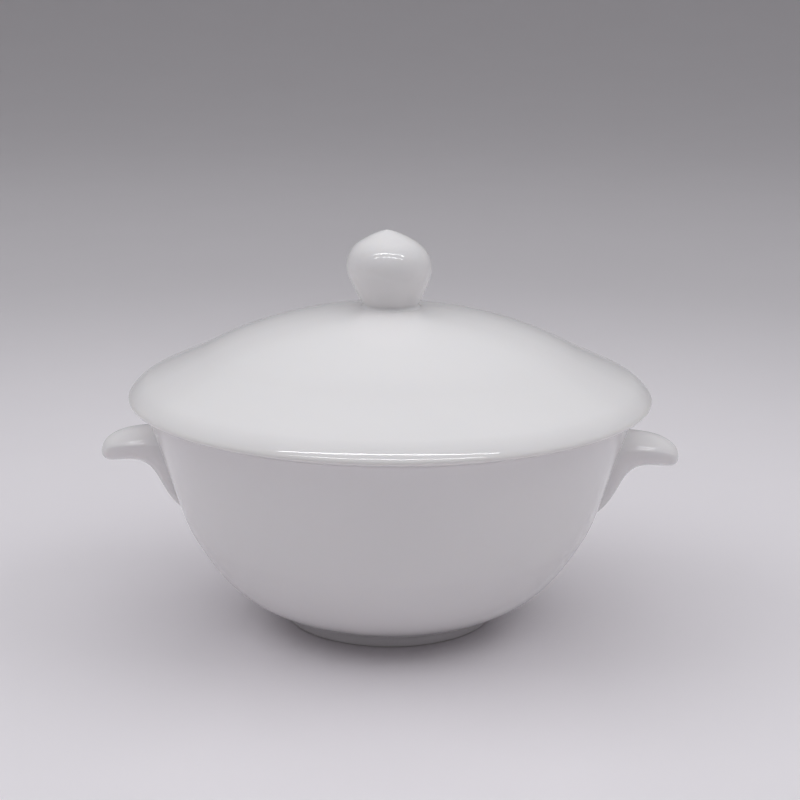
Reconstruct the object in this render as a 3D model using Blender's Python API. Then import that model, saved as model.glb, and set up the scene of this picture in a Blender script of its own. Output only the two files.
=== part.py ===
"""A lidded two-handled serving bowl in white glazed china, in metres, +Z up, standing on z = 0.

The pot is a round bowl on a low foot ring, with a lug handle on each side along X.
The lid rests on the bowl's rim, is centred by a ring below it and is lifted by its knob.
"""

import math
from typing import NamedTuple

import bmesh
import bpy
from mathutils import Vector
from mathutils.geometry import interpolate_bezier


class Knot(NamedTuple):
    """A point that an outline passes through.

    It has a distance out from the axis, a height, a slope in degrees, the lengths over which the
    curves before and after it keep to that slope, and the number of facets in the curve before it.
    """
    out: float
    up: float
    slope: float
    before: float = 0.0
    after: float = 0.0
    steps: int = 0


# Heights of the whole object
RIM_HEIGHT = 0.0901
SEAT_HEIGHT = 0.0904
CROWN_HEIGHT = 0.1266

# Room left between pieces that touch, and between a handle and the wall
JOINT_GAP = 0.0003
HANDLE_GAP = 0.00035

# Foot ring, from its outer edge under to its inner edge
BASE_HEIGHT = 0.0039
FOOT_FLARE = 0.0002
FOOT_OUTER = Knot(0.0417, 0.0007, -90, after=0.0004)
FOOT_FLAT_OUTER = Knot(0.0410, 0, 180, before=0.0004, steps=3)
FOOT_FLAT_INNER = Knot(0.0371, 0, 180, after=0.0005)
FOOT_INNER = Knot(0.0362, 0.0009, 90, before=0.0005, steps=3)

# Outside of the bowl, from the heel above the foot to the rim
BOWL_HEEL = Knot(0.0416, 0.0042, 20.9, after=0.0191)
BOWL_BELLY = Knot(0.0794, 0.0380, 60.8, before=0.0252, after=0.0101, steps=9)
BOWL_RIM = Knot(0.0968, 0.0882, 67.6, before=0.0250, steps=6)

# Inside of the bowl: the wall, the floor and the bends between them
WALL_THICKNESS = 0.0038
RIM_THICKNESS = 0.0035
FLOOR_HEIGHT = 0.0081
FLOOR_REACH = 0.0540
INNER_BEND_BELOW = 0.0285
INNER_BEND_ABOVE = 0.0100
INNER_RIM_BEND = 0.0240
LIP_BEND = 0.0010

# Top of the lid, with heights up from the face that sits on the rim, from the crown to the seat
LID_CROWN = Knot(0, CROWN_HEIGHT - SEAT_HEIGHT, 0, after=0.0060)
LID_TURN = Knot(0.0731, 0.0181, -28.9, before=0.0320, after=0.0056, steps=10)
LID_BRIM = Knot(0.0945, 0.00845, -23.0, before=0.0050, after=0.0042, steps=4)
LID_EDGE = Knot(0.1025, 0.0008, -90, before=0.0019, after=0.0004, steps=6)
LID_SEAT = Knot(0.1018, 0, 180, before=0.0004, steps=3)

# Underside of the lid, from the inner end of its seat to the middle of the hollow
LID_THICKNESS = 0.0042
HOLLOW_EDGE = Knot(0.0928, 0, 90, after=0.0058)
HOLLOW_BEND_BELOW = 0.0102
HOLLOW_BEND_ABOVE = 0.0310
HOLLOW_REACH = 0.0070

# Ring under the lid, with heights up from the lid's seat
RING_OUTER_RADIUS = 0.0910
RING_INNER_RADIUS = 0.0870
RING_GAP = 0.0006
RING_OUTER_FOOT = Knot(0.0894, -0.0070, -90, after=0.0010)
RING_LOWEST = Knot(0.0881, -0.0084, 180, before=0.0008, after=0.0008, steps=3)
RING_INNER_FOOT = Knot(0.0867, -0.0070, 90, before=0.0010, steps=3)

# Knob, with heights up from the lid's crown, from its point down to its foot
KNOB_TIP = Knot(0, 0.0294, -10, after=0.0036)
KNOB_CAP = Knot(0.0104, 0.0251, -31, before=0.0042, after=0.0047, steps=5)
KNOB_WIDEST = Knot(0.01655, 0.0148, -90, before=0.0042, after=0.0026, steps=5)
KNOB_WAIST = Knot(0.0122, 0.0027, -115, before=0.0090, after=0.0011, steps=6)
KNOB_FOOT_RADIUS = 0.0108
KNOB_FOOT_SLOPE = -125
KNOB_FOOT_BEND = 0.0008

# Lug handles seen from the side: over the top to the tip, and from the tail's end up to the tip
LUG_TOP = Knot(0.0900, 0.0768, 0, after=0.0172)
LUG_TIP = Knot(0.1150, 0.0661, -90, before=0.0062, steps=24)
TAIL_END = Knot(0.0785, 0.0386, 32, after=0.0088)
TAIL_ARCH = Knot(0.0925, 0.0550, 63.5, before=0.0088, after=0.0104, steps=12)
LUG_LOWEST = Knot(0.1103, 0.0623, -3, before=0.0078, after=0.0029, steps=16)
LUG_NOSE = Knot(LUG_TIP.out, LUG_TIP.up, 90, before=0.0024, steps=12)

# Lug handles cut across: the width along the shoulder, how blunt the tip is in plan, how far the
# shoulder stands above the tip where the lug leaves the wall, the power with which it sinks to the tip,
# the power of the arched top, the depth of underside that still counts as shallow, and the powers that
# shape the sides below, for a deep keel and for a shallow underside
LUG_WIDTH = 0.0210
LUG_TAPER_START = 0.0920
LUG_PLAN_POWERS = (3.2, 0.45)
SHOULDER_RISE = 0.0045
SHOULDER_POWER = 5
ARCH_POWER = 0.77
SHALLOW_DEPTH = 0.0056
KEEL_POWERS = (1.3, 0.8)
UNDERSIDE_POWERS = (2.0, 0.5)

# Colours of the fired clay: the pot's glaze, the lid's, the thinner glaze on the lid's ring and the ground
# edge of the foot. Then how matt the gloss glaze, the thin glaze and the bare clay are
POT_WHITE = (0.860, 0.850, 0.865)
LID_WHITE = (0.865, 0.856, 0.870)
RING_WHITE = (0.850, 0.842, 0.855)
BARE_CHINA = (0.800, 0.785, 0.760)
GLOSS_ROUGHNESS = 0.08
THIN_GLAZE_ROUGHNESS = 0.14
BARE_ROUGHNESS = 0.65

# Facets around the turned pieces, and along and around a handle
TURNS = 60
KNOB_TURNS = 36
HANDLE_STATIONS = 15
HANDLE_SIDES = 20
MERGE_DISTANCE = 0.00001


def clear_scene():
    for old in list(bpy.data.objects):
        bpy.data.objects.remove(old, do_unlink=True)


def ceramic(name, colour, roughness):
    """A fired clay finish: its colour, and how matt it is."""
    material = bpy.data.materials.new(name)
    material.use_nodes = True
    shader = material.node_tree.nodes["Principled BSDF"]
    shader.inputs["Base Color"].default_value = (*colour, 1.0)
    shader.inputs["Roughness"].default_value = roughness
    shader.inputs["Metallic"].default_value = 0.0
    return material


def place_of(knot):
    return Vector((knot.out, knot.up))


def along(slope, length):
    """A step of this length at this slope in degrees, out and up."""
    turn = math.radians(slope)
    return Vector((math.cos(turn) * length, math.sin(turn) * length))


def through(*knots):
    """An outline of Bezier curves through the knots in turn."""
    line = [place_of(knots[0])]
    for start, end in zip(knots, knots[1:]):
        leave = place_of(start) + along(start.slope, start.after)
        arrive = place_of(end) - along(end.slope, end.before)
        flat = (place_of(start), leave, arrive, place_of(end))
        stretch = interpolate_bezier(*[point.to_3d() for point in flat], end.steps + 1)
        line += [point.to_2d() for point in stretch[1:]]
    return line


def height_at(outline, out):
    """The outline's height where it is this far from the axis."""
    for near, far in zip(outline, outline[1:]):
        low, high = sorted((near.x, far.x))
        if low <= out <= high and high > low:
            share = (out - near.x) / (far.x - near.x)
            return near.y + share * (far.y - near.y)
    raise ValueError("the outline doesn't reach this far")


def placed(name, mesh, material, parent, location=(0, 0, 0)):
    mesh.materials.append(material)
    mesh.shade_smooth()
    obj = bpy.data.objects.new(name, mesh)
    bpy.context.scene.collection.objects.link(obj)
    obj.parent = parent
    obj.location = location
    return obj


def empty(name, parent=None, location=(0, 0, 0)):
    obj = bpy.data.objects.new(name, None)
    bpy.context.scene.collection.objects.link(obj)
    obj.parent = parent
    obj.location = location
    return obj


def turned(name, outline, closed, turns, material, parent, location=(0, 0, 0)):
    """A solid turned about Z from an outline of radius and height."""
    mesh = bpy.data.meshes.new(name)
    count = len(outline)
    edges = [(i, i + 1) for i in range(count - 1)]
    if closed:
        edges.append((count - 1, 0))
    mesh.from_pydata([(point.x, 0, point.y) for point in outline], edges, [])
    obj = placed(name, mesh, material, parent, location)
    screw = obj.modifiers.new("Turn", "SCREW")
    screw.axis = "Z"
    screw.angle = math.tau
    screw.steps = turns
    screw.render_steps = turns
    screw.use_merge_vertices = True
    screw.merge_threshold = MERGE_DISTANCE
    screw.use_smooth_shade = True
    return obj


def bowl_outside():
    """The bowl's outer line, from its heel up to the rim's outer shoulder."""
    return through(BOWL_HEEL, BOWL_BELLY, BOWL_RIM)


def bowl_inside():
    """The bowl's inner line, from the middle of its floor up to the rim's inner shoulder."""
    belly = place_of(BOWL_BELLY) + along(BOWL_BELLY.slope + 90, WALL_THICKNESS)
    return through(
        Knot(0, FLOOR_HEIGHT, 0, after=FLOOR_REACH),
        Knot(*belly, BOWL_BELLY.slope, before=INNER_BEND_BELOW, after=INNER_BEND_ABOVE, steps=10),
        Knot(BOWL_RIM.out - RIM_THICKNESS, BOWL_RIM.up, BOWL_RIM.slope, before=INNER_RIM_BEND, steps=5))


def bowl_lip():
    """The rounded lip, from the inner shoulder over the top to the outer shoulder."""
    inner = BOWL_RIM.out - RIM_THICKNESS
    middle = BOWL_RIM.out - RIM_THICKNESS / 2
    return through(
        Knot(inner, BOWL_RIM.up, BOWL_RIM.slope, after=LIP_BEND),
        Knot(middle, RIM_HEIGHT, 0, before=LIP_BEND, after=LIP_BEND, steps=3),
        Knot(BOWL_RIM.out, BOWL_RIM.up, BOWL_RIM.slope - 180, before=LIP_BEND, steps=3))


def make_bowl(material, pot):
    under = [Vector((FOOT_OUTER.out - JOINT_GAP, BASE_HEIGHT)), Vector((0, BASE_HEIGHT))]
    outline = bowl_inside() + bowl_lip()[1:-1] + bowl_outside()[::-1] + under
    return turned("bowl", outline, False, TURNS, material, pot)


def make_foot_ring(material, pot):
    """The low ring that the bowl stands on, its foot rounded on both sides of a flat."""
    top = BASE_HEIGHT - JOINT_GAP
    outline = [Vector((FOOT_OUTER.out + FOOT_FLARE, top))]
    outline += through(FOOT_OUTER, FOOT_FLAT_OUTER)
    outline += through(FOOT_FLAT_INNER, FOOT_INNER)
    outline += [Vector((FOOT_INNER.out - FOOT_FLARE, top))]
    return turned("foot_ring", outline, True, TURNS, material, pot)


def lid_outside():
    """The lid's top line, from its crown over the dome and the sweep, rolled under to the seat."""
    return through(LID_CROWN, LID_TURN, LID_BRIM, LID_EDGE, LID_SEAT)


def lid_underside():
    """The lid's lower line, from the inner end of its seat up to the middle of the hollow."""
    turn = place_of(LID_TURN) + along(LID_TURN.slope - 90, LID_THICKNESS)
    inward = LID_TURN.slope + 180
    return through(
        HOLLOW_EDGE,
        Knot(*turn, inward, before=HOLLOW_BEND_BELOW, after=HOLLOW_BEND_ABOVE, steps=7),
        Knot(0, LID_CROWN.up - LID_THICKNESS, 180, before=HOLLOW_REACH, steps=8))


def make_lid(material, lid_axis):
    return turned("lid", lid_outside() + lid_underside(), False, TURNS, material, lid_axis)


def make_locating_ring(material, lid_axis):
    """The ring that hangs in the bowl's mouth, its top shaped to the lid's underside."""
    hollow = lid_underside()
    middle = (RING_OUTER_RADIUS + RING_INNER_RADIUS) / 2
    roots = [RING_INNER_RADIUS, middle, RING_OUTER_RADIUS]
    outline = [Vector((radius, height_at(hollow, radius) - RING_GAP)) for radius in roots]
    outline += [Vector((RING_OUTER_RADIUS, 0))]
    outline += through(RING_OUTER_FOOT, RING_LOWEST, RING_INNER_FOOT)
    return turned("lid_locating_ring", outline, True, TURNS, material, lid_axis)


def make_knob(material, lid_axis):
    """The onion-shaped knob, softly pointed, with its foot set on the lid's crown."""
    foot_height = height_at(lid_outside(), KNOB_FOOT_RADIUS) - LID_CROWN.up + JOINT_GAP
    foot = Knot(KNOB_FOOT_RADIUS, foot_height, KNOB_FOOT_SLOPE, before=KNOB_FOOT_BEND, steps=3)
    outline = through(KNOB_TIP, KNOB_CAP, KNOB_WIDEST, KNOB_WAIST, foot) + [Vector((0, JOINT_GAP))]
    return turned("lid_knob", outline, False, KNOB_TURNS, material, lid_axis, (0, 0, LID_CROWN.up))


def handle_lines():
    """The handle's top and bottom lines seen from the side, each from inside the wall out to the tip."""
    top = [Vector((TAIL_END.out, LUG_TOP.up))] + through(LUG_TOP, LUG_TIP)
    bottom = through(TAIL_END, TAIL_ARCH, LUG_LOWEST, LUG_NOSE)
    return top, bottom


def handle_section(out, top, bottom):
    """The handle cut across at this distance from the bowl's axis: an arch that draws down into a keel.

    Above the shoulder, its widest line, it is a low arch that turns over in a tight edge. Below, the
    width falls off with depth, as an ellipse where the underside is shallow and nearly in a straight
    taper where the tail makes it deep.
    """
    outward = max(0.0, (out - LUG_TAPER_START) / (LUG_TIP.out - LUG_TAPER_START))
    fullness, rounding = LUG_PLAN_POWERS
    width = LUG_WIDTH / 2 * (1 - outward ** fullness) ** rounding
    shoulder = LUG_TIP.up + SHOULDER_RISE * (1 - outward ** SHOULDER_POWER)
    arch = height_at(top, out) - shoulder
    depth = shoulder - height_at(bottom, out)
    shallow = min(1.0, SHALLOW_DEPTH / depth)
    powers = [keel + shallow * (flat - keel) for keel, flat in zip(KEEL_POWERS, UNDERSIDE_POWERS)]
    ring = []
    for side in range(HANDLE_SIDES):
        angle = math.tau * side / HANDLE_SIDES
        across = math.cos(angle)
        rise = math.sin(angle)
        if rise >= 0:
            flank = abs(across)
            up = arch * (rise * rise) ** ARCH_POWER
        else:
            flank = (1 - (-rise) ** powers[0]) ** powers[1]
            up = depth * rise
        ring.append((out, math.copysign(width * flank, across), shoulder + up))
    return ring


def handle_mesh():
    """Sections joined from the root, inside the bowl's wall, to the lug's rounded tip."""
    top, bottom = handle_lines()
    mesh = bpy.data.meshes.new("handle")
    model = bmesh.new()
    rings = []
    for station in range(HANDLE_STATIONS):
        share = math.sin(math.pi / 2 * station / HANDLE_STATIONS)
        out = top[0].x + share * (top[-1].x - top[0].x)
        rings.append([model.verts.new(point) for point in handle_section(out, top, bottom)])
    tip = model.verts.new((LUG_TIP.out, 0, LUG_TIP.up))
    for near, far in zip(rings, rings[1:]):
        for side in range(HANDLE_SIDES):
            after = (side + 1) % HANDLE_SIDES
            model.faces.new((near[side], near[after], far[after], far[side]))
    for side in range(HANDLE_SIDES):
        model.faces.new((rings[-1][side], rings[-1][(side + 1) % HANDLE_SIDES], tip))
    model.faces.new(reversed(rings[0]))
    bmesh.ops.recalc_face_normals(model, faces=model.faces)
    model.to_mesh(mesh)
    model.free()
    return mesh


def make_wall_trim(material, pot):
    """A solid a little larger than the bowl, which shapes the handles' roots to its wall."""
    wall = [point + Vector((HANDLE_GAP, 0)) for point in bowl_outside()]
    outline = [Vector((0, wall[-1].y))] + wall[::-1] + [Vector((0, wall[0].y))]
    trim = turned("wall_trim", outline, False, TURNS, material, pot)
    trim.hide_render = True
    trim.display_type = "WIRE"
    return trim


def make_handle(name, turn, trim, material, pot):
    handle = placed(name, handle_mesh(), material, pot)
    handle.rotation_euler = (0, 0, turn)
    cut = handle.modifiers.new("Fit to the wall", "BOOLEAN")
    cut.operation = "DIFFERENCE"
    cut.solver = "EXACT"
    cut.object = trim
    return handle


def main():
    clear_scene()
    bowl_glaze = ceramic("bowl_glaze", POT_WHITE, GLOSS_ROUGHNESS)
    foot_china = ceramic("foot_china", BARE_CHINA, BARE_ROUGHNESS)
    handle_glaze = ceramic("handle_glaze", POT_WHITE, GLOSS_ROUGHNESS)
    lid_glaze = ceramic("lid_glaze", LID_WHITE, GLOSS_ROUGHNESS)
    ring_glaze = ceramic("ring_glaze", RING_WHITE, THIN_GLAZE_ROUGHNESS)
    knob_glaze = ceramic("knob_glaze", LID_WHITE, GLOSS_ROUGHNESS)
    pot = empty("pot")
    lid_axis = empty("lid_axis", pot, (0, 0, SEAT_HEIGHT))
    make_bowl(bowl_glaze, pot)
    make_foot_ring(foot_china, pot)
    trim = make_wall_trim(bowl_glaze, pot)
    make_handle("right_handle", 0.0, trim, handle_glaze, pot)
    make_handle("left_handle", math.pi, trim, handle_glaze, pot)
    make_lid(lid_glaze, lid_axis)
    make_locating_ring(ring_glaze, lid_axis)
    make_knob(knob_glaze, lid_axis)


main()
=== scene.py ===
"""The finished look of a white glazed china tureen with a lid: fine surfaces, glazes and a small studio.

Every piece is a surface worked out with numpy, in metres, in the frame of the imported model.
"""

import math
from typing import NamedTuple

import bpy
import numpy as np
from bpy.props import FloatProperty, FloatVectorProperty, PointerProperty
from mathutils import Matrix, Vector


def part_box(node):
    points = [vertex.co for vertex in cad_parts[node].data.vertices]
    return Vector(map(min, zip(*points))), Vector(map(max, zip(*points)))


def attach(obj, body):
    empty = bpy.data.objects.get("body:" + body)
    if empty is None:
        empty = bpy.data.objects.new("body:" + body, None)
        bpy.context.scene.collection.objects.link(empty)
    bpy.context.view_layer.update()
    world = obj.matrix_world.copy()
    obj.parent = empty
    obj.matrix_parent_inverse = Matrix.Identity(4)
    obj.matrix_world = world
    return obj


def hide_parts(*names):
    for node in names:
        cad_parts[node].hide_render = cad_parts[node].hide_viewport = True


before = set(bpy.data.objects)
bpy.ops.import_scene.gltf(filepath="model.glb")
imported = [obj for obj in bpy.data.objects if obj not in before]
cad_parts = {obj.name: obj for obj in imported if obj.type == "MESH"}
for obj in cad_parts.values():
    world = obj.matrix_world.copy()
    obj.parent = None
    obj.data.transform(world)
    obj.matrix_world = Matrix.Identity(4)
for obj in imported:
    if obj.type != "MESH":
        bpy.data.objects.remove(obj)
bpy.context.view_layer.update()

bl_info = {
    "name": "China Tureen",
    "version": (1, 0, 0),
    "blender": (4, 5, 0),
    "location": "View3D > Sidebar > Tureen",
    "description": "Makes the glazed surfaces of a lidded two-handled tureen and its studio",
    "category": "Add Mesh",
}


class Knot(NamedTuple):
    """A point that an outline passes through.

    It has a distance out from the axis, a height, a slope in degrees, the lengths over which the
    curves before and after it keep to that slope, and the rows of mesh in the curve before it.
    """
    out: float
    up: float
    slope: float
    before: float = 0.0
    after: float = 0.0
    rows: int = 0


# Bowl: under its base, up the outside from the heel to the rim, and the inside
BASE_HEIGHT = 0.0039
BASE_RISE = 0.0003
BASE_EDGE = 0.0409
BASE_BEND = 0.0120
BASE_EDGE_BEND = 0.0003
BASE_ROWS = 22
BOWL_HEEL = Knot(0.0416, 0.0042, 20.9, before=0.0003, after=0.0191, rows=4)
BOWL_BELLY = Knot(0.0794, 0.0380, 60.8, before=0.0252, after=0.0101, rows=44)
BOWL_RIM = Knot(0.0968, 0.0882, 67.6, before=0.0250, after=0.0010, rows=40)
RIM_HEIGHT = 0.0901
RIM_THICKNESS = 0.0035
RIM_THIN_REACH = 0.0012
LIP_BEND = 0.0010
LIP_ROWS = 12
FLOOR_HEIGHT = 0.0081
FLOOR_REACH = 0.0540
INNER_BEND_BELOW = 0.0285
INNER_BEND_ABOVE = 0.0100
INNER_RIM_BEND = 0.0240
INNER_ROWS = (44, 36)

# Foot ring: the flat that it stands on, up the outside to the heel, through the base, down the inside
FOOT_OUTLINE = (
    Knot(0.0371, 0.0000, 0),
    Knot(0.0410, 0.0000, 0, after=0.0004, rows=14),
    Knot(0.0417, 0.0007, 90, before=0.0004, after=0.0010, rows=10),
    Knot(0.0418, 0.0033, 87, before=0.0010, after=0.0005, rows=6),
    Knot(0.0426, 0.00455, 20.9, before=0.0004, rows=10),
    Knot(0.0421, 0.0057, 180, rows=2),
    Knot(0.0350, 0.0057, 180, rows=4),
    Knot(0.0345, 0.0041, -90, rows=2),
    Knot(0.0345, 0.0041, -4, after=0.0008),
    Knot(0.0359, 0.0027, -86, before=0.0008, after=0.0006, rows=12),
    Knot(0.0362, 0.0009, -90, before=0.0006, after=0.0005, rows=6),
    Knot(0.0371, 0.0000, 0, before=0.0005, rows=10),
)
# How strongly and how far the glaze pools under the heel's crease, darkening it: pooled glaze and painted
# crease shade
FOOT_POOL_SHADE_SHARE = 0.7
FOOT_POOL_SHADE_REACH = 0.0016

# The line where the glaze was wiped off: its height, the height of its waves, how many broad and fine
# waves go round the foot, how far the fine ones are shifted in radians, and how soft the line is
GLAZE_LINE_HEIGHT = 0.00055
GLAZE_LINE_WAVE = 0.00012
GLAZE_LINE_COUNTS = (7, 17)
GLAZE_LINE_SHIFT = 1
GLAZE_LINE_SOFTNESS = 0.00018

# Lid, with heights up from its seat: the top from the crown to the seat, and the hollow below
LID_CROWN_RISE = 0.0362
LID_CROWN_BEND = 0.0060
LID_TURN = Knot(0.0731, 0.0181, -28.9, before=0.0320, after=0.0056, rows=52)
LID_BRIM = Knot(0.0955, 0.0076, -25.5, before=0.0055, after=0.0040, rows=18)
LID_EDGE = Knot(0.1025, 0.0013, -90, before=0.0010, after=0.0007, rows=26)
LID_SEAT = Knot(0.1013, 0.0000, 180, before=0.00065, rows=10)
SEAT_END = Knot(0.0934, 0.0000, 180, after=0.0003, rows=6)
HOLLOW_CORNER = Knot(0.0928, 0.0006, 90, before=0.0003, after=0.0054, rows=6)
HOLLOW_BEND_BELOW = 0.0102
HOLLOW_BEND_ABOVE = 0.0310
HOLLOW_REACH = 0.0070
HOLLOW_ROWS = (26, 36)
BRIM_THIN_REACH = 0.0015

# Ring under the lid, with heights up from the lid's seat
RING_SEAT_JOIN = Knot(0.0938, 0.00004, 180, after=0.0022)
RING_OUTER = Knot(0.0905, -0.0030, -97, before=0.0014, after=0.0016, rows=14)
RING_OUTER_FOOT = Knot(0.0894, -0.0070, -90, before=0.0016, after=0.0010, rows=8)
RING_LOWEST = Knot(0.0881, -0.0084, 180, before=0.0008, after=0.0008, rows=10)
RING_INNER_FOOT = Knot(0.0867, -0.0070, 90, before=0.0010, after=0.0020, rows=10)
RING_INNER = Knot(0.0869, 0.0024, 91, before=0.0030, after=0.0016, rows=12)
RING_INNER_JOIN_RADIUS = 0.0843
RING_INNER_JOIN_BEND = 0.0014
RING_INNER_JOIN_ROWS = 12
RING_ROOT_RISE = 0.0016
RING_ROOT_ROWS = (2, 6)
WIPED_EDGE_HEIGHT = 0.0007

# Knob, with heights up from the lid's crown, from its point down to the crown
KNOB_TIP = Knot(0.0, 0.0294, -10, after=0.0036)
KNOB_CAP = Knot(0.0104, 0.0251, -31, before=0.0042, after=0.0047, rows=26)
KNOB_WIDEST = Knot(0.01655, 0.0148, -90, before=0.0042, after=0.0026, rows=26)
KNOB_WAIST = Knot(0.0122, 0.0027, -115, before=0.0090, after=0.0011, rows=34)
KNOB_NECK = Knot(0.0111, 0.0006, -117, before=0.0008, after=0.0004, rows=10)
KNOB_JOIN_RADIUS = 0.0119
KNOB_JOIN_BEND = 0.0005
KNOB_JOIN_ROWS = 12
KNOB_ROOT_DEPTH = 0.0015
KNOB_ROOT_ROWS = (2, 3)
# How strongly and how far the glaze pools round the knob's foot, darkening it: pooled glaze and painted
# crease shade
KNOB_POOL_SHADE_SHARE = 0.5
KNOB_POOL_SHADE_REACH = 0.0014

# Lug handles from the side: over the top to the tip, and from the tail's end up to the tip
LUG_TOP = Knot(0.0900, 0.0768, 0, after=0.0172)
LUG_TIP = Knot(0.1150, 0.0661, -90, before=0.0062, rows=160)
TAIL_END = Knot(0.0785, 0.0386, 32, after=0.0088)
TAIL_ARCH = Knot(0.0925, 0.0550, 63.5, before=0.0088, after=0.0104, rows=90)
LUG_LOWEST = Knot(0.1103, 0.0623, -3, before=0.0078, after=0.0029, rows=120)
LUG_NOSE = Knot(0.1150, 0.0661, 90, before=0.0024, rows=120)

# Lug handles cut across: how the shoulder sinks to the tip, how blunt the tip is in plan, the power
# of the arched top, and the powers of the sides below for a deep keel and a shallow underside
LUG_SHOULDER_RISE = 0.0045
LUG_SHOULDER_POWER = 5
LUG_TAPER_START = 0.0920
LUG_PLAN_POWERS = (3.2, 0.45)
LUG_ARCH_POWER = 0.77
LUG_SHALLOW_DEPTH = 0.0056
LUG_KEEL_POWERS = (1.3, 0.8)
LUG_UNDER_POWERS = (2.0, 0.5)

# Lug handles where they meet the wall: the halvings that find the seam, the rows of the cove and of the
# lug, how deep the cove's edge and the closing point lie in the wall, and the pooled glaze with painted
# crease shade, which fades out between two multiples of the cove's rows
LUG_SEAM_SEARCH = 40
LUG_COVE_ROWS = 14
LUG_ROWS = 76
LUG_SINK = 0.00003
LUG_ROOT_DEPTH = 0.0015
LUG_POOL_SHADE_SHARE = 0.6
LUG_POOL_SHADE_FADE = (0.5, 1.6)

# Patterns in the finishes: features to the metre, and detail
GLAZE_CLOUDS = (22.0, 3.0)
GLAZE_SHEEN = (75.0, 2.0)
GLAZE_RIPPLE = (30.0, 1.0)
GLAZE_SKIN = (700.0, 2.0)
CHINA_GRAIN = (2600.0, 3.0)
GRINDING_RINGS = (5200.0, 1.0)
PAPER_PULP = (9.0, 4.0)

# The range that noise mostly lies in, how far patterns change the roughness, and how far red, green and
# blue light travel in the china
NOISE_RANGE = (0.3, 0.7)
SHEEN_SPREAD = 0.25
GRAIN_SPREAD = 0.1
GLOW_RADIUS = (1.0, 0.85, 0.7)

# Studio paper: where it starts and ends its painted grading from pale to grey, a painted falloff of light,
# its darkest pulp and its gloss
PAPER_SHADE_GRADE = (0.22, 0.80)
PAPER_DARKEST = 0.985
PAPER_ROUGHNESS = 0.3
PAPER_SHEEN = 0.4

# Studio paper from the middle of the floor to the top of the wall
SWEEP_OUTLINE = (
    Knot(0.0, 0.0, 0),
    Knot(1.6, 0.0, 0, after=1.0, rows=12),
    Knot(3.2, 0.7, 90, before=0.5, rows=48),
    Knot(3.2, 1.7, 90, rows=4),
)

# Lights: sizes and places, and for the strips their distance and angles above the floor
LIGHT_TARGET = (0.0, 0.0, 0.1)
KEY_SIZE = (1.6, 2.8)
KEY_PLACE = (0.0, 0.0, 1.45)
STRIP_SIZE = (2.6, 0.08)
STRIP_DISTANCE = 2.0
STRIP_RISES = (56.0, 72.0)
SIDE_SIZE = (1.4, 0.9)
SIDE_PLACE = (1.15, -0.1, 1.25)

# Mesh columns around each piece
ROUND_COLUMNS = 288
KNOB_COLUMNS = 160
LUG_COLUMNS = 112

# How far to each side a line's slope is measured
SLOPE_STEP = 0.0002

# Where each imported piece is
BOWL_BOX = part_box("bowl")
FOOT_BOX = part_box("foot_ring")
LUG_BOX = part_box("right_handle")
LID_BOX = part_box("lid")
RING_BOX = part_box("lid_locating_ring")
KNOB_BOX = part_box("lid_knob")


def bend(slope, length):
    """A step of this length at this slope in degrees, out and up."""
    turn = math.radians(slope)
    return np.array((math.cos(turn), math.sin(turn))) * length


def outline(*knots):
    """Cubic Bezier curves through the knots in turn, as rows of (out, up).

    Each curve is s^3 a + 3 s^2 t b + 3 s t^2 c + t^3 d, where s is 1 - t. Its ends a and d are knots,
    and b and c lie on the slopes of those knots, as far off as the knots say.
    """
    stretches = [np.array([knots[0][:2]])]
    for start, end in zip(knots, knots[1:]):
        a = np.array(start[:2])
        d = np.array(end[:2])
        b = a + bend(start.slope, start.after)
        c = d - bend(end.slope, end.before)
        t = np.linspace(0, 1, end.rows + 1)[1:, None]
        s = 1 - t
        stretches.append(s ** 3 * a + 3 * s ** 2 * t * b + 3 * s * t ** 2 * c + t ** 3 * d)
    return np.concatenate(stretches)


def eased(value, low, high):
    """The smooth step 3s^2 - 2s^3, where s runs from 0 at low to 1 at high."""
    share = np.clip((value - low) / (high - low), 0, 1)
    return share * share * (3 - 2 * share)


def turned(profile, columns, warp):
    """A profile carried round Z: x = r cos a, y = r sin a and z = up.

    The radius r is out + warp (2 cos 2a + cos 3a) / 3, with the warp in proportion to out, so that it
    fades to nothing at the axis and a pole stays a point.
    """
    angle = np.linspace(0, math.tau, columns, endpoint=False)
    out = profile[:, :1]
    sway = (2 * np.cos(2 * angle) + np.cos(3 * angle)) / 3
    radius = out + warp * out / out.max() * sway
    up = np.broadcast_to(profile[:, 1:], radius.shape)
    return np.stack((radius * np.cos(angle), radius * np.sin(angle), up), axis=-1)


def skin(grid, start=None, end=None, loop=False):
    """Points and faces over a grid whose columns close on themselves.

    Pole points at the start and the end close the first and last rows with fans, and a loop joins
    the last row to the first. Faces point to the right of the way that the rows run.
    """
    rows, columns = grid.shape[:2]
    index = np.arange(rows * columns).reshape(rows, columns)
    if loop:
        index = np.vstack((index, index[:1]))
    after = np.roll(index, -1, axis=1)
    quads = np.stack((index[:-1], after[:-1], after[1:], index[1:]), axis=-1).reshape(-1, 4)
    points = grid.reshape(-1, 3)
    faces = quads.tolist()
    if start is not None:
        pole = np.full(columns, len(points))
        points = np.vstack((points, start))
        faces += np.stack((pole, after[0], index[0]), axis=-1).tolist()
    if end is not None:
        pole = np.full(columns, len(points))
        points = np.vstack((points, end))
        faces += np.stack((index[-1], after[-1], pole), axis=-1).tolist()
    return points, faces


def add_skin(name, points, faces, material):
    """Puts a skin with its finish into the scene, shaded smooth."""
    mesh = bpy.data.meshes.new(name)
    mesh.from_pydata(points.tolist(), [], faces)
    mesh.update()
    mesh.shade_smooth()
    mesh.materials.append(material)
    made = bpy.data.objects.new(name, mesh)
    bpy.context.scene.collection.objects.link(made)
    return made


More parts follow.
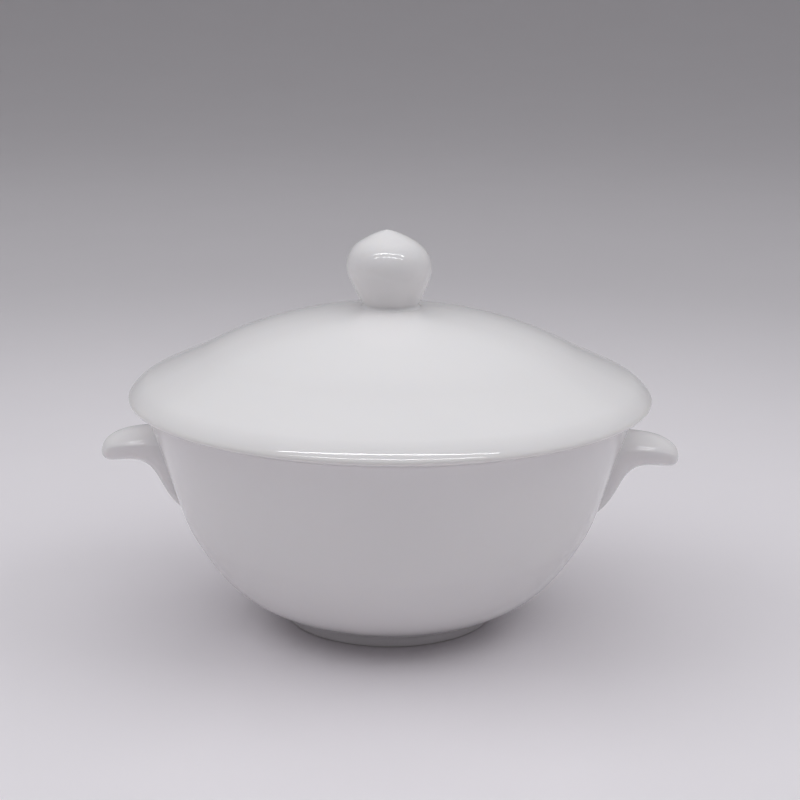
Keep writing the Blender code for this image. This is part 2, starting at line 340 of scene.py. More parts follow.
def add_piece(name, points, faces, material, marks, body, node):
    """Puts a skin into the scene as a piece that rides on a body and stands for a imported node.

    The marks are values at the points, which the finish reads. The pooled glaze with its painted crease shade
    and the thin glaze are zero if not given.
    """
    piece = add_skin(name, points, faces, material)
    zero = np.zeros(len(points))
    for mark, values in {"pool_shade": zero, "thin": zero, **marks}.items():
        layer = piece.data.attributes.new(mark, "FLOAT", "POINT")
        layer.data.foreach_set("value", values.astype(np.float32))
    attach(piece, body)
    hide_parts(node)


def bowl_outside(sizes):
    """The bowl's outer line from the heel to the rim, stretched to the rim's radius and height."""
    line = outline(BOWL_HEEL, BOWL_BELLY, BOWL_RIM)
    return line * (sizes.rim_radius / BOWL_RIM.out, sizes.rim_height / RIM_HEIGHT)


def bowl_profile(sizes):
    """Under the base, up the outside, over the lip and down the inside to the middle of the floor.

    The inside keeps the wall's thickness from the belly of the outside, measured square to it.
    """
    inner_belly = np.array(BOWL_BELLY[:2]) + bend(BOWL_BELLY.slope + 90, sizes.wall)
    inner_rim = BOWL_RIM.out - RIM_THICKNESS
    down = BOWL_BELLY.slope + 180
    line = outline(
        Knot(0.0, BASE_HEIGHT + BASE_RISE, 0, after=BASE_BEND),
        Knot(BASE_EDGE, BASE_HEIGHT, 0, BASE_BEND, BASE_EDGE_BEND, BASE_ROWS),
        BOWL_HEEL,
        BOWL_BELLY,
        BOWL_RIM,
        Knot(BOWL_RIM.out - RIM_THICKNESS / 2, RIM_HEIGHT, 180, LIP_BEND, LIP_BEND, LIP_ROWS),
        Knot(inner_rim, BOWL_RIM.up, BOWL_RIM.slope - 180, LIP_BEND, INNER_RIM_BEND, LIP_ROWS),
        Knot(*inner_belly, down, INNER_BEND_ABOVE, INNER_BEND_BELOW, INNER_ROWS[0]),
        Knot(0.0, FLOOR_HEIGHT, 180, before=FLOOR_REACH, rows=INNER_ROWS[1]))
    return line * (sizes.rim_radius / BOWL_RIM.out, sizes.rim_height / RIM_HEIGHT)


def lid_top(sizes):
    """The lid's upper line from the crown over the dome and the sweep to the seat, in heights above it."""
    crown = Knot(0.0, LID_CROWN_RISE, 0, after=LID_CROWN_BEND)
    line = outline(crown, LID_TURN, LID_BRIM, LID_EDGE, LID_SEAT)
    return line * (sizes.lid_radius / LID_EDGE.out, sizes.lid_rise / LID_CROWN_RISE)


def lid_hollow(sizes):
    """The lid's lower line from the seat to the middle of the hollow, a shell's thickness below the top."""
    turn = np.array(LID_TURN[:2]) + bend(LID_TURN.slope - 90, sizes.lid_shell)
    inward = LID_TURN.slope + 180
    line = outline(
        SEAT_END,
        HOLLOW_CORNER,
        Knot(*turn, inward, HOLLOW_BEND_BELOW, HOLLOW_BEND_ABOVE, HOLLOW_ROWS[0]),
        Knot(0.0, LID_CROWN_RISE - sizes.lid_shell, 180, before=HOLLOW_REACH, rows=HOLLOW_ROWS[1]))
    return line * (sizes.lid_radius / LID_EDGE.out, sizes.lid_rise / LID_CROWN_RISE)


def height_and_slope(line, out):
    """The height of a line that runs in or out, and its slope in degrees, at this distance from the axis."""
    order = np.argsort(line[:, 0])
    reach = np.array((-SLOPE_STEP, 0.0, SLOPE_STEP)) + out
    low, here, high = np.interp(reach, line[order, 0], line[order, 1])
    return here, math.degrees(math.atan2(high - low, reach[2] - reach[0]))


def ring_profile(sizes):
    """The ring under the lid, from its root round the inside, the lowest edge and the outside.

    A cove joins it to the hollow and another to the seat. The run through the lid's clay closes it.
    """
    hollow = lid_hollow(sizes)
    join_up, join_slope = height_and_slope(hollow[hollow[:, 1] > RING_INNER.up], RING_INNER_JOIN_RADIUS)
    inward = join_slope + 180
    root = join_up + RING_ROOT_RISE
    line = outline(
        RING_SEAT_JOIN, RING_OUTER, RING_OUTER_FOOT, RING_LOWEST, RING_INNER_FOOT, RING_INNER,
        Knot(RING_INNER_JOIN_RADIUS, join_up, inward, RING_INNER_JOIN_BEND, 0.0, RING_INNER_JOIN_ROWS),
        Knot(RING_INNER_JOIN_RADIUS, root, 90, rows=RING_ROOT_ROWS[0]),
        Knot(RING_SEAT_JOIN.out, RING_ROOT_RISE, 0, rows=RING_ROOT_ROWS[1]))
    return line[::-1]


def knob_profile(sizes):
    """The knob from the crown up to its soft point, with a small cove where it is luted to the lid."""
    tall = sizes.knob_height / KNOB_TIP.up
    wide = sizes.knob_radius / KNOB_WIDEST.out
    join_up, join_slope = height_and_slope(lid_top(sizes)[:LID_TURN.rows], KNOB_JOIN_RADIUS)
    line = outline(
        KNOB_TIP, KNOB_CAP, KNOB_WIDEST, KNOB_WAIST, KNOB_NECK,
        Knot(KNOB_JOIN_RADIUS, join_up - sizes.lid_rise, join_slope, KNOB_JOIN_BEND, 0.0, KNOB_JOIN_ROWS),
        Knot(KNOB_JOIN_RADIUS, -KNOB_ROOT_DEPTH, -90, rows=KNOB_ROOT_ROWS[0]),
        Knot(0.0, -KNOB_ROOT_DEPTH, 180, rows=KNOB_ROOT_ROWS[1]))
    return line[::-1] * (wide, tall)


def lug_points(out, angle, sizes):
    """The lug's surface at a distance out from the axis and an angle round its section.

    Above its shoulder, the widest line, the section is a low arch, z = h (1 - (y/w)^2)^p. Below, the
    width is w (1 - s^m)^n at a share s of the depth, with m and n of an ellipse where the underside is
    shallow and of a straight keel where the tail makes it deep. In plan the width falls to the tip as
    (1 - o^m)^n, and the shoulder sinks to it as o^m.
    """
    top = np.vstack(((TAIL_END.out, LUG_TOP.up), outline(LUG_TOP, LUG_TIP)))
    under = outline(TAIL_END, TAIL_ARCH, LUG_LOWEST, LUG_NOSE)
    outward = np.clip((out - LUG_TAPER_START) / (LUG_TIP.out - LUG_TAPER_START), 0, 1)
    middle = LUG_TIP.up + LUG_SHOULDER_RISE * (1 - outward ** LUG_SHOULDER_POWER)
    dome = np.interp(out, *top.T) - middle
    depth = middle - np.interp(out, *under.T)
    width = sizes.lug_width / 2 * (1 - outward ** LUG_PLAN_POWERS[0]) ** LUG_PLAN_POWERS[1]
    shallow = np.clip(LUG_SHALLOW_DEPTH / np.maximum(depth, LUG_SINK), 0, 1)
    power = LUG_KEEL_POWERS[0] + shallow * (LUG_UNDER_POWERS[0] - LUG_KEEL_POWERS[0])
    root = LUG_KEEL_POWERS[1] + shallow * (LUG_UNDER_POWERS[1] - LUG_KEEL_POWERS[1])
    across = np.cos(angle)
    rise = np.sin(angle)
    high = np.maximum(rise, 0)
    low = np.maximum(-rise, 0)
    flank = np.where(rise >= 0, np.abs(across), np.maximum(1 - low ** power, 0) ** root)
    up = middle + dome * high ** (2 * LUG_ARCH_POWER) - depth * low
    side = np.copysign(width * flank, across)
    return np.stack(np.broadcast_arrays(out, side, up), axis=-1)


def wall_radius(wall, up):
    """The radius of the bowl's wall at these heights, read between the points of its outline."""
    return np.interp(up, wall[:, 1], wall[:, 0])


def wall_gap(points, wall):
    """How far points stand out of the wall: their distance from the axis less the wall's radius there."""
    return np.hypot(points[..., 0], points[..., 1]) - wall_radius(wall, points[..., 2])


def on_wall(points, wall, depth):
    """Points moved straight to or from the axis until they lie this deep in the wall."""
    radius = wall_radius(wall, points[..., 2]) - depth
    share = radius / np.hypot(points[..., 0], points[..., 1])
    return points * np.stack((share, share, np.ones_like(share)), axis=-1)


def lug_grid(sizes):
    """The lug from a luting cove on the wall to its tip, as a grid, with its root and tip poles.

    Each column of the lug meets the wall at a seam, found by halving. The cove is a parabola
    (1-t)^2 a + 2 (1-t) t b + t^2 c from a on the wall, by the seam b, to c on the lug. Slopes on the
    lug and on the wall are measured over a quarter of the cove.
    """
    wall = bowl_outside(sizes)
    angle = np.linspace(0, math.tau, LUG_COLUMNS, endpoint=False)
    near = np.full(LUG_COLUMNS, TAIL_END.out)
    far = np.full(LUG_COLUMNS, LUG_TIP.out)
    for halving in range(LUG_SEAM_SEARCH):
        middle = (near + far) / 2
        outside = wall_gap(lug_points(middle, angle, sizes), wall) > 0
        near, far = np.where(outside, near, middle), np.where(outside, middle, far)
    seam = lug_points(far, angle, sizes)
    step = sizes.lug_cove / 4
    pace = np.linalg.norm(lug_points(far + step, angle, sizes) - seam, axis=-1) / step
    start = far + sizes.lug_cove / pace
    along = np.roll(seam, -1, axis=0) - np.roll(seam, 1, axis=0)
    widening = wall_radius(wall, seam[:, 2] + step) - wall_radius(wall, seam[:, 2] - step)
    square = np.column_stack((seam[:, :2] / np.hypot(*seam[:, :2].T)[:, None], -widening / (2 * step)))
    away = np.cross(along, square)
    away *= np.sign((away * (seam - seam.mean(axis=0))).sum()) / np.linalg.norm(away, axis=1)[:, None]
    edge = on_wall(seam + away * sizes.lug_cove, wall, LUG_SINK)
    t = np.linspace(0, 1, LUG_COVE_ROWS)[:, None, None]
    cove = (1 - t) ** 2 * edge + 2 * (1 - t) * t * seam + t ** 2 * lug_points(start, angle, sizes)
    share = np.sin(math.pi / 2 * np.arange(1, LUG_ROWS) / LUG_ROWS)[:, None]
    body = lug_points(start + share * (LUG_TIP.out - start), angle, sizes)
    tip = lug_points(np.array([LUG_TIP.out]), np.zeros(1), sizes)
    root = on_wall(edge.mean(axis=0)[None], wall, LUG_ROOT_DEPTH)
    return np.concatenate((cove, body)), root, tip


def add_node(tree, kind, **inputs):
    """A shader node with its inputs set by name, to values or to other nodes' outputs."""
    made = tree.nodes.new(kind)
    for name, value in inputs.items():
        socket = made.inputs[name.replace("_", " ")]
        if isinstance(value, bpy.types.NodeSocket):
            tree.links.new(value, socket)
        else:
            socket.default_value = value
    return made


def mixed(tree, share, first, second):
    """A colour that goes from the first to the second as the share goes from 0 to 1."""
    mix = tree.nodes.new("ShaderNodeMix")
    mix.data_type = "RGBA"
    # The node has sockets for every kind of data, and these are its share and its two colours
    share_socket, first_socket, second_socket = mix.inputs[0], mix.inputs[6], mix.inputs[7]
    for value, socket in ((share, share_socket), (first, first_socket), (second, second_socket)):
        if isinstance(value, bpy.types.NodeSocket):
            tree.links.new(value, socket)
        else:
            socket.default_value = value
    return mix.outputs[2]


def noise(tree, place, pattern):
    """Cloudy noise with a pattern's number of features to the metre and its detail."""
    scale, detail = pattern
    return add_node(tree, "ShaderNodeTexNoise", Vector=place, Scale=scale, Detail=detail).outputs["Fac"]


def between(tree, value, low, high):
    """Noise, which lies mostly in its own range, spread from low to high."""
    spread = add_node(tree, "ShaderNodeMapRange", Value=value, From_Min=NOISE_RANGE[0],
                      From_Max=NOISE_RANGE[1], To_Min=low, To_Max=high)
    return spread.outputs["Result"]


def read_mark(tree, name):
    """A mark on the piece, as a value in its finish."""
    layer = tree.nodes.new("ShaderNodeAttribute")
    layer.attribute_name = name
    return layer.outputs["Fac"]


def opaque(colour):
    """A colour with the fourth value that a socket needs."""
    return (*colour, 1.0)


def new_finish(name):
    """An empty material with a shader, and the place on the piece that its patterns follow."""
    material = bpy.data.materials.new(name)
    material.use_nodes = True
    tree = material.node_tree
    place = tree.nodes.new("ShaderNodeTexCoord").outputs["Object"]
    return material, tree, tree.nodes["Principled BSDF"], place


def glaze_nodes(tree, place, look):
    """A white gloss glaze: faintly cloudy, cooler and darker where it pools, which also paints shade into the
    creases, and warmer where it thins over an edge.

    Returns its colour, its roughness and its surface: a broad ripple with a fine skin on it.
    """
    clouds = between(tree, noise(tree, place, GLAZE_CLOUDS), 0.0, 1.0)
    colour = mixed(tree, clouds, opaque(look.white), opaque(look.cloud))
    colour = mixed(tree, read_mark(tree, "thin"), colour, opaque(look.thin))
    # Pooled glaze, darker in the creases: real pooling, and painted crease shade
    colour = mixed(tree, read_mark(tree, "pool_shade"), colour, opaque(look.pooled_shade))
    roughness = between(tree, noise(tree, place, GLAZE_SHEEN), look.gloss * (1 - SHEEN_SPREAD),
                        look.gloss * (1 + SHEEN_SPREAD))
    broad = add_node(tree, "ShaderNodeBump", Height=noise(tree, place, GLAZE_RIPPLE), Strength=1.0,
                     Distance=look.ripple)
    fine = add_node(tree, "ShaderNodeBump", Height=noise(tree, place, GLAZE_SKIN), Strength=1.0,
                    Distance=look.skin, Normal=broad.outputs["Normal"])
    return colour, roughness, fine.outputs["Normal"]


def glazed(name, look):
    """China with a white gloss glaze, slightly lit from within."""
    material, tree, shader, place = new_finish(name)
    colour, roughness, surface = glaze_nodes(tree, place, look)
    tree.links.new(colour, shader.inputs["Base Color"])
    tree.links.new(roughness, shader.inputs["Roughness"])
    tree.links.new(surface, shader.inputs["Normal"])
    shader.inputs["IOR"].default_value = look.refraction
    shader.inputs["Subsurface Weight"].default_value = look.glow
    shader.inputs["Subsurface Radius"].default_value = GLOW_RADIUS
    shader.inputs["Subsurface Scale"].default_value = look.glow_depth
    return material


def partly_bare(name, look):
    """The same glaze, which stops at a wiped edge where the fine-ground china is bare and matt.

    The bare china has a fine grain, and rings left by the grinding follow the distance from the axis.
    """
    material, tree, shader, place = new_finish(name)
    colour, roughness, surface = glaze_nodes(tree, place, look)
    bare = read_mark(tree, "bare")
    grain = noise(tree, place, CHINA_GRAIN)
    flat = add_node(tree, "ShaderNodeVectorMath", Vector=place)
    flat.operation = "MULTIPLY"
    flat.inputs[1].default_value = (1.0, 1.0, 0.0)
    radius = add_node(tree, "ShaderNodeVectorMath", Vector=flat.outputs["Vector"])
    radius.operation = "LENGTH"
    rings = add_node(tree, "ShaderNodeTexNoise", Scale=GRINDING_RINGS[0], Detail=GRINDING_RINGS[1])
    rings.noise_dimensions = "1D"
    tree.links.new(radius.outputs["Value"], rings.inputs["W"])
    clay = mixed(tree, between(tree, grain, 0.0, 1.0), opaque(look.bare), opaque(look.bare_grain))
    matt = between(tree, grain, look.bare_roughness * (1 - GRAIN_SPREAD),
                   look.bare_roughness * (1 + GRAIN_SPREAD))
    ground = add_node(tree, "ShaderNodeBump", Height=rings.outputs["Fac"], Strength=1.0, Distance=look.grind)
    gritty = add_node(tree, "ShaderNodeBump", Height=grain, Strength=1.0, Distance=look.grind,
                      Normal=ground.outputs["Normal"])
    tree.links.new(mixed(tree, bare, colour, clay), shader.inputs["Base Color"])
    tree.links.new(mixed(tree, bare, roughness, matt), shader.inputs["Roughness"])
    tree.links.new(mixed(tree, bare, surface, gritty.outputs["Normal"]), shader.inputs["Normal"])
    shader.inputs["IOR"].default_value = look.refraction
    return material


def studio_paper(name, colour, far_shade_tone):
    """Satin paper, faintly cloudy, with a painted pool of light: its own colour in the middle, graded to a
    darker tone far off.
    """
    material, tree, shader, place = new_finish(name)
    pulp = between(tree, noise(tree, place, PAPER_PULP), PAPER_DARKEST, 1.0)
    radius = add_node(tree, "ShaderNodeVectorMath", Vector=place)
    radius.operation = "LENGTH"
    # Painted falloff of light: the paper's colour darkens from the middle outwards
    shade_grade = add_node(tree, "ShaderNodeMapRange", Value=radius.outputs["Value"], From_Min=PAPER_SHADE_GRADE[0],
                     From_Max=PAPER_SHADE_GRADE[1], To_Min=1.0, To_Max=far_shade_tone)
    shade_grade.interpolation_type = "SMOOTHSTEP"
    tone = add_node(tree, "ShaderNodeVectorMath", Vector=pulp)
    tone.operation = "MULTIPLY"
    tree.links.new(shade_grade.outputs["Result"], tone.inputs[1])
    tinted = add_node(tree, "ShaderNodeVectorMath", Vector=tone.outputs["Vector"])
    tinted.operation = "MULTIPLY"
    tinted.inputs[1].default_value = colour
    tree.links.new(tinted.outputs["Vector"], shader.inputs["Base Color"])
    shader.inputs["Roughness"].default_value = PAPER_ROUGHNESS
    shader.inputs["Specular IOR Level"].default_value = PAPER_SHEEN
    return material


def metres(name, description, default):
    """A setting that is a length."""
    return FloatProperty(name=name, description=description, default=default, unit="LENGTH",
                         subtype="DISTANCE", precision=5)


def degrees(name, description, default):
    """A setting that is an angle, given in degrees and kept in radians."""
    return FloatProperty(name=name, description=description, default=math.radians(default), unit="ROTATION",
                         subtype="ANGLE", precision=3)


def tint(name, description, default):
    """A setting that is a colour."""
    return FloatVectorProperty(name=name, description=description, default=default, subtype="COLOR",
                               min=0.0, max=1.0)


def fraction(name, description, default):
    """A setting from 0 to 1."""
    return FloatProperty(name=name, description=description, default=default, min=0.0, max=1.0,
                         subtype="FACTOR")


def watts(name, description, default):
    """A setting that is the power of a light."""
    return FloatProperty(name=name, description=description, default=default, min=0.0, unit="POWER")


def level(name, description, default):
    """A setting that is the strength of the light from all round."""
    return FloatProperty(name=name, description=description, default=default, min=0.0)


class TureenSizes(bpy.types.PropertyGroup):
    """Sizes of the pieces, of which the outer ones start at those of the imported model"""
    rim_radius: metres("Rim radius", "From the axis to the outside of the bowl's rim", BOWL_BOX[1].x)
    rim_height: metres("Rim height", "From the table to the top of the bowl's rim", BOWL_BOX[1].z)
    wall: metres("Wall", "Thickness of the bowl's wall at the belly", 0.0038)
    foot_height: metres("Foot height", "From the table to the packed foot ring's top", FOOT_BOX[1].z)
    lug_width: metres("Lug width", "Across a handle at its widest", LUG_BOX[1].y - LUG_BOX[0].y)
    lug_cove: metres("Lug cove", "Size of the slip cove where a handle meets the wall", 0.0018)
    lid_seat: metres("Lid seat", "From the table to the face of the lid that sits on the rim", LID_BOX[0].z)
    lid_radius: metres("Lid radius", "From the axis to the edge of the lid's brim", LID_BOX[1].x)
    lid_rise: metres("Lid rise", "From the lid's seat to its crown", LID_BOX[1].z - LID_BOX[0].z)
    lid_shell: metres("Lid shell", "Thickness of the lid's dome", 0.0042)
    knob_radius: metres("Knob radius", "From the axis to the knob's widest line", KNOB_BOX[1].x)
    knob_height: metres("Knob height", "From the lid's crown to the knob's point",
                        KNOB_BOX[1].z - LID_BOX[1].z)
    knob_lean: degrees("Knob lean", "How far the knob leans to the left above its foot", 3.2)
    warp: metres("Warp", "How far a round piece strays from a true circle after firing", 0.0001)


class TureenGlaze(bpy.types.PropertyGroup):
    """Colours and gloss of the glaze and of the bare china"""
    white: tint("White", "The glaze over the china", (0.864, 0.846, 0.848))
    cloud: tint("Cloud", "The glaze where it is faintly cloudy", (0.852, 0.835, 0.838))
    # Pooled: the glaze's colour in creases, darker, so it paints crease shade as well as pooled glaze
    pooled_shade: tint("Pooled", "The glaze where it gathers in a crease", (0.800, 0.790, 0.792))
    thin: tint("Thin", "The glaze where it draws off an edge", (0.864, 0.845, 0.835))
    bare: tint("Bare", "Ground china without glaze", (0.800, 0.785, 0.760))
    bare_grain: tint("Bare grain", "Darker grain in the bare china", (0.730, 0.712, 0.685))
    gloss: fraction("Gloss roughness", "Roughness of the glaze", 0.04)
    bare_roughness: fraction("Bare roughness", "Roughness of the bare china", 0.65)
    refraction: FloatProperty(name="Refraction", description="Index of refraction of the glaze", default=1.52)
    glow: fraction("Glow", "Share of light that passes through the china", 0.08)
    glow_depth: metres("Glow depth", "How far that light travels in the china", 0.004)
    ripple: metres("Ripple", "Height of the broad waves in the glaze", 0.00003)
    skin: metres("Skin", "Height of the fine unevenness of the glaze", 0.000001)
    grind: metres("Grind", "Height of the grinding marks on the bare china", 0.00002)


class TureenStage(bpy.types.PropertyGroup):
    """The floor, the lights and the camera"""
    paper: tint("Paper", "Floor and backdrop", (0.845, 0.812, 0.842))
    # How far the paper's painted falloff of light darkens it far off
    far_shade_tone: fraction("Far tone", "How pale the paper is far off", 0.74)
    lamps: tint("Lamps", "Colour of the lights", (0.970, 0.980, 1.000))
    fill: level("Fill", "Strength of the light from straight above", 0.50)
    low_fill: level("Low fill", "Strength of the light from the horizon", 0.02)
    key_power: watts("Key", "Power of the large soft light overhead", 9.3)
    strip_power: watts("Strips", "Power of each long light in front", 9.5)
    side_power: watts("Sides", "Power of each soft light at the sides", 6.8)
    lens: FloatProperty(name="Lens", description="Focal length of the camera", default=81.0, unit="CAMERA")
    distance: metres("Distance", "From the bowl's axis to the camera, along the floor", 0.691)
    height: metres("Camera height", "From the floor to the camera", 0.26434)
    turn: degrees("Turn", "How far round from the front the camera stands", 0.8)
    heading: degrees("Heading", "How far to the left of straight back the camera looks", 0.481)
    pitch: degrees("Pitch", "How far down the camera looks", 14.32)
    roll: degrees("Roll", "How far the camera leans to the left", 0.52)


class TureenSettings(bpy.types.PropertyGroup):
    """Everything that the operators read"""
    sizes: PointerProperty(name="Sizes", description="Sizes of the pieces", type=TureenSizes)
    glaze: PointerProperty(name="Glaze", description="Colours and gloss", type=TureenGlaze)
    stage: PointerProperty(name="Stage", description="Floor, lights and camera", type=TureenStage)


class TUREEN_OT_bowl(bpy.types.Operator):
    """Make the bowl with its rounded lip"""
    bl_idname = "tureen.bowl"
    bl_label = "Bowl"

    def execute(self, context):
        sizes = context.scene.tureen.sizes
        profile = bowl_profile(sizes)
        grid = turned(profile[1:-1], ROUND_COLUMNS, sizes.warp)
        base = (0.0, 0.0, profile[0, 1])
        floor = (0.0, 0.0, profile[-1, 1])
        points, faces = skin(grid, base, floor)
        # The glaze thins towards the top of the rim
        thin = eased(points[:, 2], sizes.rim_height - RIM_THIN_REACH, sizes.rim_height)
        finish = glazed("bowl_finish", context.scene.tureen.glaze)
        add_piece("tureen_bowl", points, faces, finish, {"thin": thin}, "pot", "bowl")
        return {"FINISHED"}


class TUREEN_OT_foot(bpy.types.Operator):
    """Make the foot ring, glazed down to a wiped line and bare where it stands"""
    bl_idname = "tureen.foot"
    bl_label = "Foot Ring"

    def execute(self, context):
        sizes = context.scene.tureen.sizes
        tall = sizes.foot_height / FOOT_BOX[1].z
        grid = turned(outline(*FOOT_OUTLINE)[:-1] * (1.0, tall), ROUND_COLUMNS, sizes.warp)
        points, faces = skin(grid, loop=True)
        # The wiped line is a sum of two sine waves round the foot, and the glaze pools up to the crease,
        # darker there as painted crease shade
        around = np.arctan2(points[:, 1], points[:, 0])
        broad, fine = GLAZE_LINE_COUNTS
        waves = np.sin(broad * around) + np.sin(fine * around + GLAZE_LINE_SHIFT) / 2
        line = GLAZE_LINE_HEIGHT + GLAZE_LINE_WAVE * waves
        bare = 1 - eased(points[:, 2] - line, -GLAZE_LINE_SOFTNESS, GLAZE_LINE_SOFTNESS)
        crease = BASE_HEIGHT * tall
        pool_shade = FOOT_POOL_SHADE_SHARE * eased(points[:, 2], crease - FOOT_POOL_SHADE_REACH, crease)
        finish = partly_bare("foot_finish", context.scene.tureen.glaze)
        add_piece("tureen_foot", points, faces, finish, {"bare": bare, "pool_shade": pool_shade}, "pot", "foot_ring")
        return {"FINISHED"}


class TUREEN_OT_lugs(bpy.types.Operator):
    """Make the two lug handles with their tails, luted to the wall"""
    bl_idname = "tureen.lugs"
    bl_label = "Lug Handles"

    def execute(self, context):
        sizes = context.scene.tureen.sizes
        finish = glazed("lug_finish", context.scene.tureen.glaze)
        grid, root, tip = lug_grid(sizes)
        points, faces = skin(grid, root, tip)
        # The glaze pools in the cove, darker there as painted crease shade, and fades out along the lug
        rows = np.repeat(np.arange(len(grid)), LUG_COLUMNS)
        fade_start, fade_end = (LUG_COVE_ROWS * part for part in LUG_POOL_SHADE_FADE)
        poles = (0.0, 0.0)
        pool_shade = np.append(LUG_POOL_SHADE_SHARE * (1 - eased(rows, fade_start, fade_end)), poles)
        for side, facing in (("right", 1), ("left", -1)):
            half_turn = np.array((facing, facing, 1.0))
            add_piece(f"tureen_lug_{side}", points * half_turn, faces, finish, {"pool_shade": pool_shade}, "pot",
                      f"{side}_handle")
        return {"FINISHED"}


class TUREEN_OT_lid(bpy.types.Operator):
    """Make the domed lid with its flared brim"""
    bl_idname = "tureen.lid"
    bl_label = "Lid"

    def execute(self, context):
        sizes = context.scene.tureen.sizes
        profile = np.concatenate((lid_top(sizes), lid_hollow(sizes)))[::-1] + (0.0, sizes.lid_seat)
        grid = turned(profile[1:-1], ROUND_COLUMNS, sizes.warp)
        points, faces = skin(grid, (0.0, 0.0, profile[0, 1]), (0.0, 0.0, profile[-1, 1]))
        # The glaze pools round the foot of the knob, more the higher up, darker there as painted crease
        # shade, and thins towards the brim's edge
        out = np.hypot(points[:, 0], points[:, 1])
        upper = eased(points[:, 2], profile[0, 1], profile[-1, 1])
        pool_shade = KNOB_POOL_SHADE_SHARE * upper * (1 - eased(np.abs(out - KNOB_JOIN_RADIUS), 0.0, KNOB_POOL_SHADE_REACH))
        thin = eased(out, sizes.lid_radius - BRIM_THIN_REACH, sizes.lid_radius)
        finish = glazed("lid_finish", context.scene.tureen.glaze)
        add_piece("tureen_lid", points, faces, finish, {"pool_shade": pool_shade, "thin": thin}, "lid", "lid")
        return {"FINISHED"}


class TUREEN_OT_ring(bpy.types.Operator):
    """Make the ring under the lid, wiped bare along its lowest edge"""
    bl_idname = "tureen.ring"
    bl_label = "Locating Ring"

    def execute(self, context):
        sizes = context.scene.tureen.sizes
        grid = turned(ring_profile(sizes) + (0.0, sizes.lid_seat), ROUND_COLUMNS, sizes.warp)
        points, faces = skin(grid, loop=True)
        line = RING_BOX[0].z + WIPED_EDGE_HEIGHT
        bare = 1 - eased(points[:, 2], line - GLAZE_LINE_SOFTNESS, line + GLAZE_LINE_SOFTNESS)
        finish = partly_bare("ring_finish", context.scene.tureen.glaze)
        add_piece("tureen_lid_ring", points, faces, finish, {"bare": bare}, "lid", "lid_locating_ring")
        return {"FINISHED"}


class TUREEN_OT_knob(bpy.types.Operator):
    """Make the onion-shaped knob with its soft point and its slight lean

    The lean moves a point to the left by its tangent times the point's height above the crown.
    """
    bl_idname = "tureen.knob"
    bl_label = "Knob"

    def execute(self, context):
        sizes = context.scene.tureen.sizes
        crown = sizes.lid_seat + sizes.lid_rise
        profile = knob_profile(sizes) + (0.0, crown)
        grid = turned(profile[1:-1], KNOB_COLUMNS, 0.0)
        points, faces = skin(grid, (0.0, 0.0, profile[0, 1]), (0.0, 0.0, profile[-1, 1]))
        points[:, 0] -= math.tan(sizes.knob_lean) * np.maximum(points[:, 2] - crown, 0)
        # The glaze pools at the foot of the knob, darker there as painted crease shade
        pool_shade = KNOB_POOL_SHADE_SHARE * (1 - eased(points[:, 2] - crown, 0.0, KNOB_POOL_SHADE_REACH))
        finish = glazed("knob_finish", context.scene.tureen.glaze)
        add_piece("tureen_knob", points, faces, finish, {"pool_shade": pool_shade}, "lid", "lid_knob")
        return {"FINISHED"}


def add_area_light(name, power, colour, size, place):
    """A rectangular light at a place, turned towards the middle of the object."""
    lamp = bpy.data.lights.new(name, "AREA")
    lamp.shape = "RECTANGLE"
    lamp.size, lamp.size_y = size
    lamp.energy = power
    lamp.color = colour
    light = bpy.data.objects.new(name, lamp)
    bpy.context.scene.collection.objects.link(light)
    light.location = place
    light.rotation_euler = (Vector(LIGHT_TARGET) - Vector(place)).to_track_quat("-Z", "Y").to_euler()
    return light


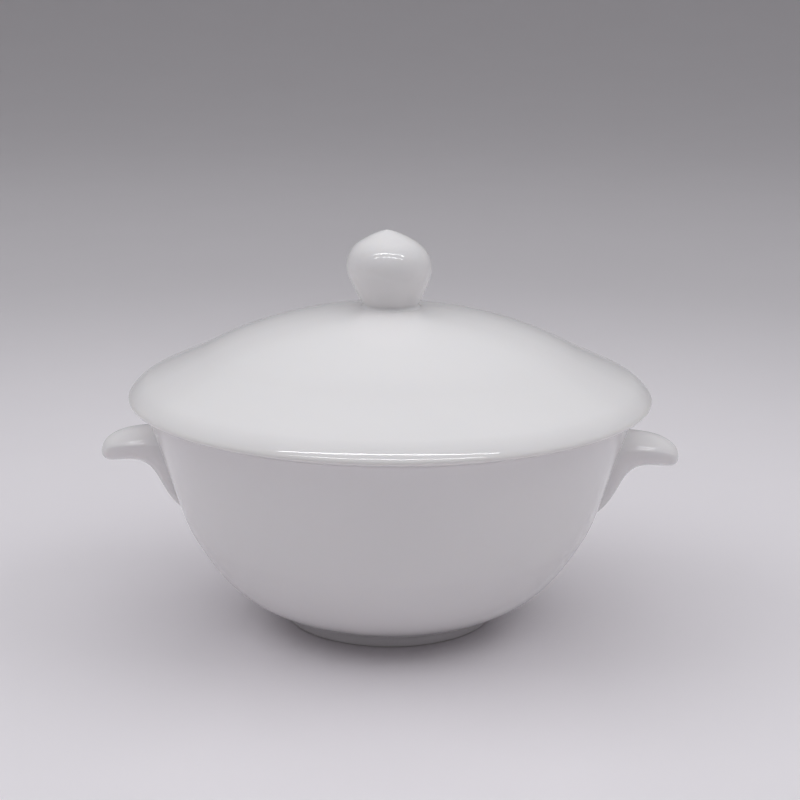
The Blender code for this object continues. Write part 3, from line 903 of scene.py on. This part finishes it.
class TUREEN_OT_stage(bpy.types.Operator):
    """Make the floor that sweeps up all round, the lights, the fill and the camera"""
    bl_idname = "tureen.stage"
    bl_label = "Stage"

    def execute(self, context):
        stage = context.scene.tureen.stage
        self.add_sweep(stage)
        self.add_lights(stage)
        self.add_fill(stage)
        self.add_camera(context.scene, stage)
        context.scene.view_settings.view_transform = "Standard"
        return {"FINISHED"}

    def add_sweep(self, stage):
        """A disc that bends up into a wall: a profile carried round the axis, seen from inside."""
        line = outline(*SWEEP_OUTLINE)
        points, faces = skin(turned(line[1:][::-1], ROUND_COLUMNS, 0.0), end=(0.0, 0.0, 0.0))
        paper = studio_paper("studio_paper", stage.paper, stage.far_shade_tone)
        add_skin("studio_sweep", points, faces, paper)

    def add_lights(self, stage):
        """A soft light overhead, one at each side, and two long strips in front.

        The strips don't light the surfaces: they only show in the gloss, as long lines.
        """
        key = add_area_light("key_light", stage.key_power, stage.lamps, KEY_SIZE, KEY_PLACE)
        key.visible_glossy = False
        for number, rise in enumerate(STRIP_RISES):
            turn = math.radians(rise)
            up = LIGHT_TARGET[2] + STRIP_DISTANCE * math.sin(turn)
            place = (0.0, -STRIP_DISTANCE * math.cos(turn), up)
            strip = add_area_light(f"strip_light_{number}", stage.strip_power, stage.lamps, STRIP_SIZE, place)
            strip.visible_diffuse = False
        for number, side in enumerate((-1, 1)):
            place = (side * SIDE_PLACE[0], *SIDE_PLACE[1:])
            soft = add_area_light(f"side_light_{number}", stage.side_power, stage.lamps, SIDE_SIZE, place)
            soft.visible_glossy = False

    def add_fill(self, stage):
        """A world that is dim at the horizon and brightens evenly with height."""
        world = bpy.data.worlds.new("studio_fill")
        world.use_nodes = True
        tree = world.node_tree
        sky = tree.nodes.new("ShaderNodeTexCoord").outputs["Generated"]
        direction = add_node(tree, "ShaderNodeSeparateXYZ", Vector=sky)
        strength = add_node(tree, "ShaderNodeMapRange", Value=direction.outputs["Z"], From_Min=0.0,
                            From_Max=1.0, To_Min=stage.low_fill, To_Max=stage.fill)
        tree.nodes["Background"].inputs["Color"].default_value = opaque(stage.lamps)
        tree.links.new(strength.outputs["Result"], tree.nodes["Background"].inputs["Strength"])
        bpy.context.scene.world = world

    def add_camera(self, scene, stage):
        """A camera at a distance from the axis and a turn round it, aimed by its heading, pitch and roll."""
        lens = bpy.data.cameras.new("photo_camera")
        lens.lens = stage.lens
        camera = bpy.data.objects.new("photo_camera", lens)
        scene.collection.objects.link(camera)
        x = stage.distance * math.sin(stage.turn)
        y = -stage.distance * math.cos(stage.turn)
        aim = (Matrix.Rotation(stage.heading, 4, "Z") @ Matrix.Rotation(math.pi / 2 - stage.pitch, 4, "X")
               @ Matrix.Rotation(stage.roll, 4, "Z"))
        camera.matrix_world = Matrix.Translation((x, y, stage.height)) @ aim
        scene.camera = camera


class TUREEN_PT_panel(bpy.types.Panel):
    """Lists the operators and what they read"""
    bl_idname = "TUREEN_PT_panel"
    bl_label = "China Tureen"
    bl_space_type = "VIEW_3D"
    bl_region_type = "UI"
    bl_category = "Tureen"

    def draw(self, context):
        for operator in OPERATORS:
            self.layout.operator(operator.bl_idname)
        settings = context.scene.tureen
        for group in (settings.sizes, settings.glaze, settings.stage):
            box = self.layout.box()
            for name in group.__annotations__:
                box.prop(group, name)


OPERATORS = (TUREEN_OT_bowl, TUREEN_OT_foot, TUREEN_OT_lugs, TUREEN_OT_lid, TUREEN_OT_ring, TUREEN_OT_knob,
             TUREEN_OT_stage)
CLASSES = (TureenSizes, TureenGlaze, TureenStage, TureenSettings, *OPERATORS, TUREEN_PT_panel)


def register():
    """Makes the classes known to Blender and gives the scene its settings."""
    for each in CLASSES:
        bpy.utils.register_class(each)
    bpy.types.Scene.tureen = PointerProperty(name="Tureen", description="All settings", type=TureenSettings)


def unregister():
    """Takes the settings and the classes away again."""
    del bpy.types.Scene.tureen
    for each in reversed(CLASSES):
        bpy.utils.unregister_class(each)


def main():
    """Makes every piece and the stage."""
    register()
    bpy.ops.tureen.bowl()
    bpy.ops.tureen.foot()
    bpy.ops.tureen.lugs()
    bpy.ops.tureen.lid()
    bpy.ops.tureen.ring()
    bpy.ops.tureen.knob()
    bpy.ops.tureen.stage()


if __name__ == "__main__":
    main()
